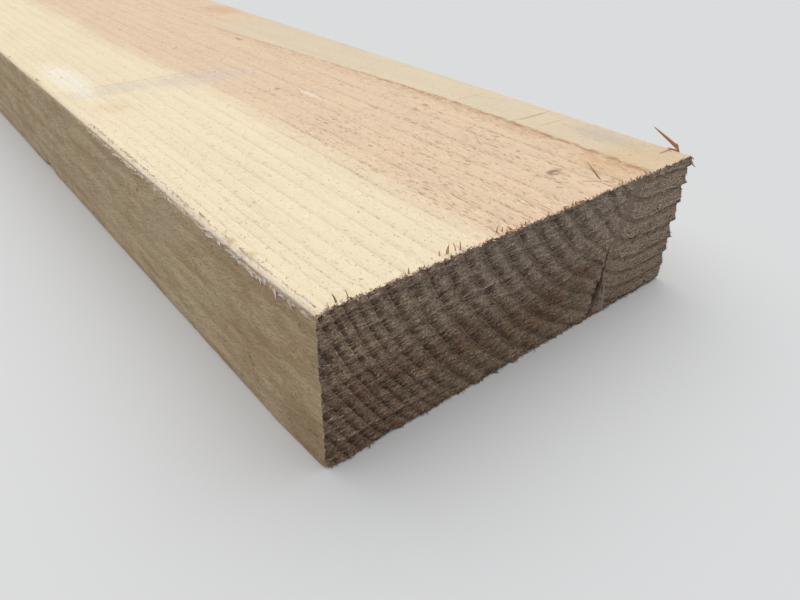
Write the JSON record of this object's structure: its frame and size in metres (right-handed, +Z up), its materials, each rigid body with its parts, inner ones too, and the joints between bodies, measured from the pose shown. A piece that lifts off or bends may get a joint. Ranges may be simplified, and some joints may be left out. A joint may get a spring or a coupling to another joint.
{
  "type": "sawn timber plank",
  "caption": "Rough-sawn softwood plank whose end is terraced by its growth rings, with a heart split and a torn corner.",
  "frame": {"origin": "middle of the underside", "axes": "+Y along the grain, away from the split end; +X across the width, towards the side nearer the pith of the log; +Z up through the thickness"},
  "size_m": [0.225, 1.8, 0.072],
  "materials": {
    "sawn_softwood": "rough sawn, unfinished"
  },
  "bodies": {
    "root": {"plank": "sawn_softwood"}
  },
  "joints": []
}
